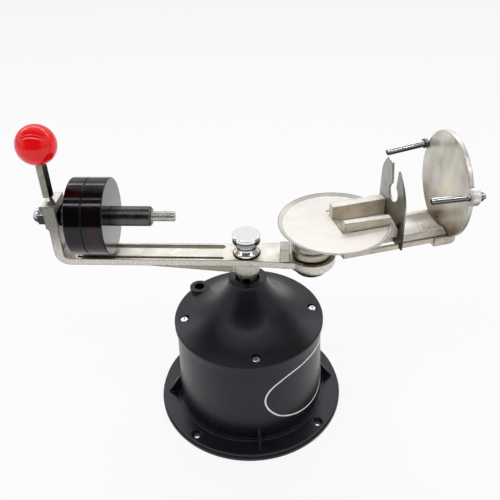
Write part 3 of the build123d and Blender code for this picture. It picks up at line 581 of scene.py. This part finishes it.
# Brush directions and plate tones, each from dark to bright; side tones are painted shade and top tones
# painted light
LEVEL_BRUSH = (20.0, 20.0, 900.0)
UPRIGHT_BRUSH = (900.0, 900.0, 25.0)
LATHE_RINGS = (60.0, 60.0, 1500.0)
SATIN_SHEEN = (0.24, 0.40)
BRIGHT_TOP = ((0.76, 0.73, 0.67), (0.92, 0.89, 0.84))
CRADLE_SIDE = ((0.46, 0.435, 0.35), (0.70, 0.67, 0.56))
CRADLE_TOP = ((0.86, 0.835, 0.78), (0.97, 0.95, 0.905))
RAIL_SIDE = ((0.40, 0.36, 0.28), (0.70, 0.64, 0.525))
ARM_SIDE = ((0.36, 0.32, 0.25), (0.62, 0.57, 0.475))
TRAY_SIDE = ((0.50, 0.44, 0.34), (0.80, 0.72, 0.59))
FORK_SIDE = ((0.27, 0.267, 0.24), (0.46, 0.455, 0.42))
FORK_TOP = ((0.84, 0.82, 0.79), (0.92, 0.905, 0.885))
FORK_FOOT = (0.055, 0.054, 0.045)

finishes = {
    "satin": satin_plastic(),
    "casting": cast_nickel(),
    "plate": nickel_plate("nickel_plate", CRADLE_SIDE, CRADLE_TOP, LEVEL_BRUSH, SATIN_SHEEN, metal=0.62),
    "rail": nickel_plate("rail_plate", RAIL_SIDE, BRIGHT_TOP, LEVEL_BRUSH, SATIN_SHEEN, metal=0.62),
    "arm": nickel_plate("arm_plate", ARM_SIDE, BRIGHT_TOP, LEVEL_BRUSH, SATIN_SHEEN, metal=0.62),
    "tray": nickel_plate("tray_plate", TRAY_SIDE, BRIGHT_TOP, LEVEL_BRUSH, (0.30, 0.44), metal=0.35),
    "disc": pale_disc(),
    "fork": nickel_plate(
        "brushed_fork", FORK_SIDE, FORK_TOP, UPRIGHT_BRUSH, (0.28, 0.42), metal=0.85, foot=FORK_FOOT
    ),
    "end_plate": end_plate_tones(),
    "chrome": bright_chrome(),
    "thumb_nut": thumb_nut_chrome(),
    "stud": turned_steel(
        "stud_steel",
        tones=((0.40, 0.385, 0.35), (0.66, 0.645, 0.61)),
        roughness=(0.26, 0.40),
        ring_scale=(2200.0, 40.0, 40.0),
        ring_depth=0.05,
    ),
    "stem": handle_steel(),
    "screw": turned_steel(
        "zinc_screw",
        tones=((0.62, 0.62, 0.62), (0.80, 0.80, 0.80)),
        roughness=(0.18, 0.30),
        ring_scale=(300.0, 300.0, 300.0),
        ring_depth=0.05,
    ),
    "inner": turned_steel(
        "machined_steel",
        tones=((0.36, 0.36, 0.37), (0.52, 0.52, 0.53)),
        roughness=(0.28, 0.42),
        ring_scale=LATHE_RINGS,
        ring_depth=0.06,
    ),
    "bronze": turned_steel(
        "turned_bronze",
        tones=((0.52, 0.36, 0.16), (0.76, 0.56, 0.29)),
        roughness=(0.24, 0.38),
        ring_scale=LATHE_RINGS,
        ring_depth=0.06,
    ),
    "sintered": turned_steel(
        "sintered_bush",
        tones=((0.022, 0.018, 0.013), (0.05, 0.040, 0.028)),
        roughness=(0.34, 0.48),
        ring_scale=LATHE_RINGS,
        ring_depth=0.06,
    ),
    "spring": turned_steel(
        "blued_spring",
        tones=((0.10, 0.115, 0.17), (0.20, 0.215, 0.27)),
        roughness=(0.24, 0.38),
        ring_scale=LATHE_RINGS,
        ring_depth=0.05,
    ),
    "oxide": turned_steel(
        "black_oxide",
        tones=((0.012, 0.012, 0.013), (0.030, 0.029, 0.030)),
        roughness=(0.14, 0.24),
        ring_scale=(300.0, 300.0, 900.0),
        ring_depth=0.08,
    ),
    "sleeve": turned_steel(
        "dull_oxide",
        tones=((0.070, 0.067, 0.070), (0.14, 0.135, 0.14)),
        roughness=(0.26, 0.36),
        ring_scale=(900.0, 40.0, 40.0),
        ring_depth=0.06,
    ),
    "weight": black_weight(),
    "ball": red_gloss(),
    "stripe": stripe_paint(),
}

# Finish and edge radius in millimetres for each node
dress = {
    "base_housing": ("satin", 0.8),
    "top_cover": ("satin", 0.7),
    "cover_screws": ("screw", 0.15),
    "bearing_plate": ("inner", 0.3),
    "bearing_plate_screws": ("screw", 0.15),
    "upper_bush": ("sintered", 0.3),
    "lower_bush": ("bronze", 0.3),
    "thrust_washer": ("screw", 0.2),
    "mainspring": ("spring", 0.0),
    "spring_anchor": ("screw", 0.3),
    "drive_shaft": ("inner", 0.3),
    "spring_arbor": ("inner", 0.3),
    "arbor_pin": ("screw", 0.2),
    "main_arm": ("casting", 0.9),
    "hub_set_screw": ("oxide", 0.2),
    "hub_washer": ("oxide", 0.3),
    "hub_nut": ("thumb_nut", 0.5),
    "stop_block": ("plate", 0.6),
    "stop_block_screw": ("oxide", 0.2),
    "handle_stem": ("stem", 0.4),
    "ball_knob": ("ball", 0.4),
    "balance_stud": ("stud", 0.2),
    "cap_nut": ("chrome", 0.4),
    "jam_nut": ("oxide", 0.4),
    "pivot_bolt": ("oxide", 0.4),
    "pivot_washer": ("oxide", 0.3),
    "pivot_nut": ("oxide", 0.4),
    "thin_weight": ("weight", 0.3),
    "thick_weight": ("weight", 0.3),
    "weight_sleeve": ("sleeve", 0.3),
    "outer_arm": ("arm", 0.5),
    "pivot_bush": ("bronze", 0.2),
    "near_rail": ("rail", 0.4),
    "far_rail": ("rail", 0.4),
    "flask_cradle": ("plate", 0.3),
    "end_plate": ("end_plate", 0.3),
    "near_guide_pin": ("chrome", 0.2),
    "far_guide_pin": ("chrome", 0.2),
    "near_pin_collar": ("chrome", 0.3),
    "far_pin_collar": ("chrome", 0.3),
    "far_pin_nut": ("chrome", 0.3),
    "crucible_tray": ("tray", 0.4),
    "splash_disc": ("disc", 0.35),
    "fork_plate": ("fork", 0.4),
}


# Edge softening
def geometry_group(name):
    group = bpy.data.node_groups.new(name, "GeometryNodeTree")
    group.interface.new_socket("Geometry", in_out="INPUT", socket_type="NodeSocketGeometry")
    group.interface.new_socket("Geometry", in_out="OUTPUT", socket_type="NodeSocketGeometry")
    return group, node(group, "NodeGroupInput").outputs["Geometry"]


def joining_group():
    group, mesh = geometry_group("join_faces")
    lit_shaded_rim = node(group, "GeometryNodeRemoveAttribute", {"Geometry": mesh, "Name": "custom_normal"})
    inputs = {"Geometry": lit_shaded_rim.outputs["Geometry"], "Distance": MERGE_DISTANCE}
    joined = node(group, "GeometryNodeMergeByDistance", inputs)
    node(group, "NodeGroupOutput", {"Geometry": joined.outputs["Geometry"]})
    return group


def shading_group():
    group, mesh = geometry_group("smooth_by_angle")
    angle = node(group, "GeometryNodeInputMeshEdgeAngle").outputs["Unsigned Angle"]
    sharp = node(group, "FunctionNodeCompare", {0: angle, 1: SMOOTH_ANGLE}, operation="GREATER_THAN")
    inputs = {"Geometry": mesh, "Shade Smooth": True}
    smooth = node(group, "GeometryNodeSetShadeSmooth", inputs, domain="FACE")
    inputs = {
        "Geometry": smooth.outputs["Geometry"],
        "Selection": sharp.outputs["Result"],
        "Shade Smooth": False,
    }
    creased = node(group, "GeometryNodeSetShadeSmooth", inputs, domain="EDGE")
    node(group, "NodeGroupOutput", {"Geometry": creased.outputs["Geometry"]})
    return group


join_faces = joining_group()
smooth_by_angle = shading_group()


def soften(shown, radius):
    shown.modifiers.new("join_faces", "NODES").node_group = join_faces
    if radius:
        flat = shown.modifiers.new("flat_faces", "DECIMATE")
        flat.decimate_type = "DISSOLVE"
        flat.angle_limit = FLAT_ANGLE
        edge = shown.modifiers.new("edge_radius", "BEVEL")
        edge.width = radius * MILLIMETRE
        edge.segments = EDGE_SEGMENTS
        edge.limit_method = "ANGLE"
        edge.angle_limit = EDGE_ANGLE
    shown.modifiers.new("smooth_by_angle", "NODES").node_group = smooth_by_angle
    weighted = shown.modifiers.new("weighted_normals", "WEIGHTED_NORMAL")
    weighted.keep_sharp = True


for name, (finish, radius) in dress.items():
    shown = nodes[name]
    shown.data.materials.clear()
    shown.data.materials.append(finishes[finish])
    soften(shown, radius)


# New pieces
def add_piece(name, points, faces, finish, body):
    mesh = bpy.data.meshes.new(name)
    mesh.from_pydata([[value * MILLIMETRE for value in point] for point in points], [], faces)
    mesh.update()
    mesh.shade_smooth()
    mesh.materials.append(finishes[finish])
    piece = bpy.data.objects.new(name, mesh)
    scene.collection.objects.link(piece)
    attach(piece, body)
    return piece


def smooth_loop(points, steps):
    loop = []
    count = len(points)
    for k in range(count):
        p0, p1, p2, p3 = [Vector(points[(k + shift) % count]) for shift in (-1, 0, 1, 2)]
        for step in range(steps):
            t = step / steps
            bent = 2 * p1 + (p2 - p0) * t + (2 * p0 - 5 * p1 + 4 * p2 - p3) * t**2
            loop.append((bent + (3 * p1 - p0 - 3 * p2 + p3) * t**3) / 2)
    return loop


def on_wall(arc, height, rise):
    radius = WALL_FOOT_RADIUS - WALL_SLOPE * (height - WALL_FOOT_HEIGHT)
    angle = arc / WALL_FOOT_RADIUS
    return ((radius + rise) * math.cos(angle), (radius + rise) * math.sin(angle), height)


def pinstripe():
    route = [(math.radians(angle) * WALL_FOOT_RADIUS, height) for angle, height in STRIPE_ROUTE]
    middle = smooth_loop(route, STRIPE_STEPS)
    points = []
    faces = []
    rows = len(middle)
    width = len(STRIPE_PROFILE)
    for k, spot in enumerate(middle):
        ahead = (middle[(k + 1) % rows] - middle[k - 1]).normalized()
        across = Vector((-ahead.y, ahead.x))
        for share, lift in STRIPE_PROFILE:
            arc, height = spot + across * share * STRIPE_WIDTH
            points.append(on_wall(arc, height, lift * STRIPE_RISE))
        here = k * width
        there = ((k + 1) % rows) * width
        for j in range(width):
            after = (j + 1) % width
            faces.append((here + j, here + after, there + after, there + j))
    add_piece("wall_pinstripe", points, faces, "stripe", "base")


def threaded_stud():
    low, high = [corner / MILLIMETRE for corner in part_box("balance_stud")]
    start, end = low.x, high.x
    centre = (low.z + high.z) / 2
    outer = (high.z - low.z) / 2
    rings = int((end - start) / THREAD_PITCH * THREAD_RINGS)
    points = []
    faces = []
    for k in range(rings + 1):
        x = start + (end - start) * k / rings
        ease = min(1.0, (x - start) / THREAD_RUN_OUT, (end - x) / THREAD_RUN_OUT)
        for j in range(THREAD_SIDES):
            turn = j / THREAD_SIDES
            phase = (x / THREAD_PITCH - turn) % 1.0
            crest = abs(2 * phase - 1)
            radius = outer - THREAD_DEPTH * (1 - crest) - (1 - ease) * THREAD_DEPTH * crest
            angle = 2 * math.pi * turn
            points.append((x, radius * math.cos(angle), centre + radius * math.sin(angle)))
    for k in range(rings):
        here = k * THREAD_SIDES
        there = here + THREAD_SIDES
        for j in range(THREAD_SIDES):
            after = (j + 1) % THREAD_SIDES
            faces.append((here + j, here + after, there + after, there + j))
    faces.append(tuple(range(THREAD_SIDES - 1, -1, -1)))
    faces.append(tuple(rings * THREAD_SIDES + j for j in range(THREAD_SIDES)))
    stud = add_piece("threaded_stud", points, faces, "stud", "arm")
    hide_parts("balance_stud")


pinstripe()
threaded_stud()


# Floor, white to the camera and to reflections
def make_floor():
    corners = [
        (-FLOOR_HALF, -FLOOR_HALF, -FLOOR_DROP),
        (FLOOR_HALF, -FLOOR_HALF, -FLOOR_DROP),
        (FLOOR_HALF, FLOOR_HALF, -FLOOR_DROP),
        (-FLOOR_HALF, FLOOR_HALF, -FLOOR_DROP),
    ]
    mesh = bpy.data.meshes.new("floor")
    mesh.from_pydata(corners, [], [(0, 1, 2, 3)])
    material, tree, shader, _ = start_material(
        "pale_floor", base_color=FLOOR_COLOUR, roughness=0.9, specular_ior_level=0.1
    )
    rays = node(tree, "ShaderNodeLightPath").outputs
    seen = maths(tree, "MAXIMUM", rays["Is Camera Ray"], rays["Is Glossy Ray"])
    seen = maths(tree, "MAXIMUM", seen, rays["Is Transmission Ray"])
    white = node(tree, "ShaderNodeEmission", {"Strength": 1.0}).outputs["Emission"]
    inputs = {0: maths(tree, "MULTIPLY", seen, FLOOR_WHITE), 1: shader.outputs["BSDF"], 2: white}
    mixed = node(tree, "ShaderNodeMixShader", inputs).outputs["Shader"]
    tree.links.new(mixed, tree.nodes["Material Output"].inputs["Surface"])
    mesh.materials.append(material)
    floor = bpy.data.objects.new("floor", mesh)
    scene.collection.objects.link(floor)


make_floor()


# Lamps
def area_light(name, place, aim, length, width, watts):
    data = bpy.data.lights.new(name, "AREA")
    data.shape = "RECTANGLE"
    data.size = length
    data.size_y = width
    data.energy = watts
    light = bpy.data.objects.new(name, data)
    light.location = place
    light.rotation_euler = aim.to_track_quat("-Z", "Y").to_euler()
    scene.collection.objects.link(light)
    return light


for lamp, (place, width, watts) in STRIPS.items():
    level_aim = LIGHT_TARGET - Vector(place)
    level_aim.x = 0.0
    area_light(lamp, place, level_aim, STRIP_LENGTH, width, watts)
for lamp, (place, watts) in FILLS.items():
    fill = area_light(lamp, place, LIGHT_TARGET - Vector(place), FILL_SIZE, FILL_SIZE, watts)
    fill.visible_glossy = False


# Studio walls around the floor
def studio_world():
    world = bpy.data.worlds.new("studio")
    scene.world = world
    world.use_nodes = True
    tree = world.node_tree
    ray = node(tree, "ShaderNodeTexCoord").outputs["Generated"]
    parts = node(tree, "ShaderNodeSeparateXYZ", {"Vector": ray}).outputs
    low = remap(tree, parts["Z"], LOW_RANGE, (LOW_LEVEL, 1.0))
    back = maths(tree, "MULTIPLY", remap(tree, parts["Y"], BACK_RANGE, (0.0, BACK_LEVEL)), low)
    left = remap(tree, parts["X"], LEFT_RANGE, (LEFT_LEVEL, 0.0))
    right = remap(tree, parts["X"], RIGHT_RANGE, (0.0, RIGHT_LEVEL))
    flank = maths(tree, "MULTIPLY", maths(tree, "ADD", left, right), low)
    strength = maths(tree, "ADD", maths(tree, "MAXIMUM", back, flank), SKY_LEVEL)
    seen = node(tree, "ShaderNodeLightPath").outputs["Is Camera Ray"]
    strength = maths(tree, "MAXIMUM", strength, maths(tree, "MULTIPLY", seen, BACKDROP_WHITE))
    background = tree.nodes["Background"]
    background.inputs["Color"].default_value = WALL_COLOUR
    tree.links.new(strength, background.inputs["Strength"])


studio_world()


# Camera
def add_camera():
    forward = Vector((
        math.sin(CAMERA_YAW) * math.cos(CAMERA_PITCH),
        math.cos(CAMERA_YAW) * math.cos(CAMERA_PITCH),
        -math.sin(CAMERA_PITCH),
    ))
    level_right = Vector((math.cos(CAMERA_YAW), -math.sin(CAMERA_YAW), 0.0))
    level_up = level_right.cross(forward)
    right = math.cos(CAMERA_ROLL) * level_right + math.sin(CAMERA_ROLL) * level_up
    up = math.cos(CAMERA_ROLL) * level_up - math.sin(CAMERA_ROLL) * level_right
    data = bpy.data.cameras.new("camera")
    data.lens = CAMERA_LENS
    data.sensor_width = SENSOR_WIDTH
    data.clip_start = CAMERA_NEAR
    camera = bpy.data.objects.new("camera", data)
    facing = Matrix((right, up, -forward)).transposed().to_4x4()
    facing.translation = Vector((0.0, -CAMERA_DISTANCE, CAMERA_HEIGHT))
    camera.matrix_world = Matrix.Rotation(CAMERA_TURN, 4, "Z") @ facing
    scene.collection.objects.link(camera)
    scene.camera = camera


add_camera()
scene.view_settings.view_transform = "Standard"
